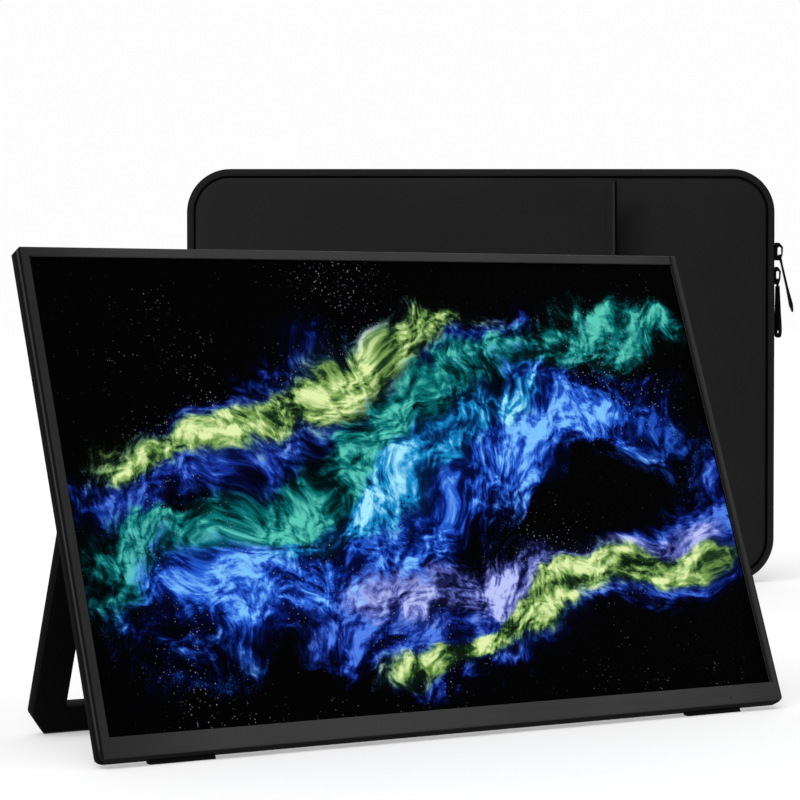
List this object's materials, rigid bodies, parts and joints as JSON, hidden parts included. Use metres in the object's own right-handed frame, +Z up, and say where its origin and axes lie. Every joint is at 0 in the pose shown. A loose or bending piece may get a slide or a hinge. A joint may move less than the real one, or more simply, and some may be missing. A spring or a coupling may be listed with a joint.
{
  "type": "portable monitor with cover",
  "caption": "Slim portable monitor standing on a folding U-shaped kickstand, with the padded zip sleeve that it travels in.",
  "frame": {"origin": "middle of the set's own footprint, on the table", "axes": "+Z up, -Y towards the side that the screen faces, +X to the right as seen from the front"},
  "size_m": [0.6398, 0.6106, 0.2422],
  "materials": {
    "frame_plastic": "fine-textured dark grey",
    "cover_plastic": "fine-textured near black",
    "screen": "opaque semi-gloss panel",
    "lens": "tiny smoked light pipe",
    "diffuser": "white",
    "chassis": "plain sheet",
    "rubber": "matt",
    "stand_metal": "satin near black",
    "steel": "bright",
    "black_screws": "blackened",
    "board": "green lacquer",
    "flex": "amber film",
    "switch_plastic": "plain",
    "shell_fabric": "close weave",
    "band_fabric": "close weave",
    "foam": "soft padding",
    "lining": "brushed",
    "trim": "bound edge",
    "chain": "coiled",
    "zip_metal": "black",
    "stop_metal": "plain",
    "pull": "matt"
  },
  "bodies": {
    "housing": {"front_frame": "frame_plastic", "display_panel": "screen", "backlight_unit": "diffuser", "chassis_plate": "chassis", "rear_cover": "cover_plastic", "status_lens": "lens", "foot_left": "rubber", "foot_right": "rubber", "driver_board": "board", "control_board": "board", "panel_flex": "flex", "usb_port_upper": "steel", "usb_port_lower": "steel", "hdmi_port": "steel", "audio_jack": "cover_plastic", "power_switch": "switch_plastic", "rocker_switches": "switch_plastic", "speaker_left": "switch_plastic", "speaker_right": "switch_plastic", "hinge_bracket_left": "steel", "hinge_bracket_right": "steel", "bracket_screws": "steel", "cover_screws": "black_screws", "board_screws": "steel"},
    "stand": {"kickstand": "stand_metal", "hinge_pins": "steel", "kickstand_strip": "rubber"},
    "power_button": {"power_button": "cover_plastic"},
    "menu_rocker": {"menu_rocker": "cover_plastic"},
    "sleeve": {"sleeve_back_face": "shell_fabric", "sleeve_back_foam": "foam", "sleeve_back_lining": "lining", "sleeve_front_face": "shell_fabric", "sleeve_front_foam": "foam", "sleeve_front_lining": "lining", "side_band": "band_fabric", "piping_back": "trim", "piping_front": "trim", "pocket_panel": "shell_fabric", "mouth_band_back": "band_fabric", "zip_tape_back": "trim", "zip_chain_back": "chain", "zip_stops": "stop_metal"},
    "mouth_flap": {"flap_face": "shell_fabric", "flap_foam": "foam", "flap_lining": "lining", "flap_piping": "trim", "flap_pocket": "shell_fabric", "flap_band": "band_fabric", "zip_tape_front": "trim", "zip_chain_front": "chain"},
    "slider_upper": {"slider_upper": "zip_metal"},
    "slider_lower": {"slider_lower": "zip_metal"},
    "pull_upper": {"pull_upper": "pull"},
    "pull_lower": {"pull_lower": "pull"}
  },
  "joints": [
    {"name": "kickstand_fold", "type": "hinge", "parent": "housing", "child": "stand", "pos_m": [-0.17267, -0.25624, 0.09911], "axis": [1, 0, 0], "range_deg": [-43.9, 26.1]},
    {"name": "power_press", "type": "slide", "parent": "housing", "child": "power_button", "axis": [1, 0, 0], "range_m": [0, 0.0004], "stiffness_N_per_m": 2000},
    {"name": "menu_rock", "type": "hinge", "parent": "housing", "child": "menu_rocker", "pos_m": [-0.29276, -0.27291, 0.05893], "axis": [0, -0.9272, 0.3746], "range_deg": [-3, 3], "stiffness_Nm_per_rad": 0.1},
    {"name": "sleeve_lift", "type": "slide", "parent": "housing", "child": "sleeve", "axis": [0, 0, 1], "range_m": [-0.0005, 0.3]},
    {"name": "mouth_open", "type": "hinge", "parent": "sleeve", "child": "mouth_flap", "pos_m": [0.15524, 0.1999, 0.1697], "axis": [0.8586, -0.5126, 0], "range_deg": [0, 100]},
    {"name": "slider_upper_run", "type": "slide", "parent": "sleeve", "child": "slider_upper", "axis": [0, 0, 1], "range_m": [0, 0.0168]},
    {"name": "slider_lower_run", "type": "slide", "parent": "sleeve", "child": "slider_lower", "axis": [0, 0, 1], "range_m": [-0.002, 0.001]},
    {"name": "pull_lower_swing", "type": "hinge", "parent": "slider_lower", "child": "pull_lower", "pos_m": [0.31095, 0.12079, 0.1778], "axis": [-0.5126, -0.8586, 0], "range_deg": [0, 100]},
    {"name": "pull_upper_swing", "type": "hinge", "parent": "slider_upper", "child": "pull_upper", "pos_m": [0.31198, 0.12018, 0.1919], "axis": [-0.5126, -0.8586, 0], "range_deg": [0, 100]}
  ],
  "couplings": [
    {"joint": "pull_upper_swing", "follows": "pull_lower_swing", "ratio": 1}
  ]
}
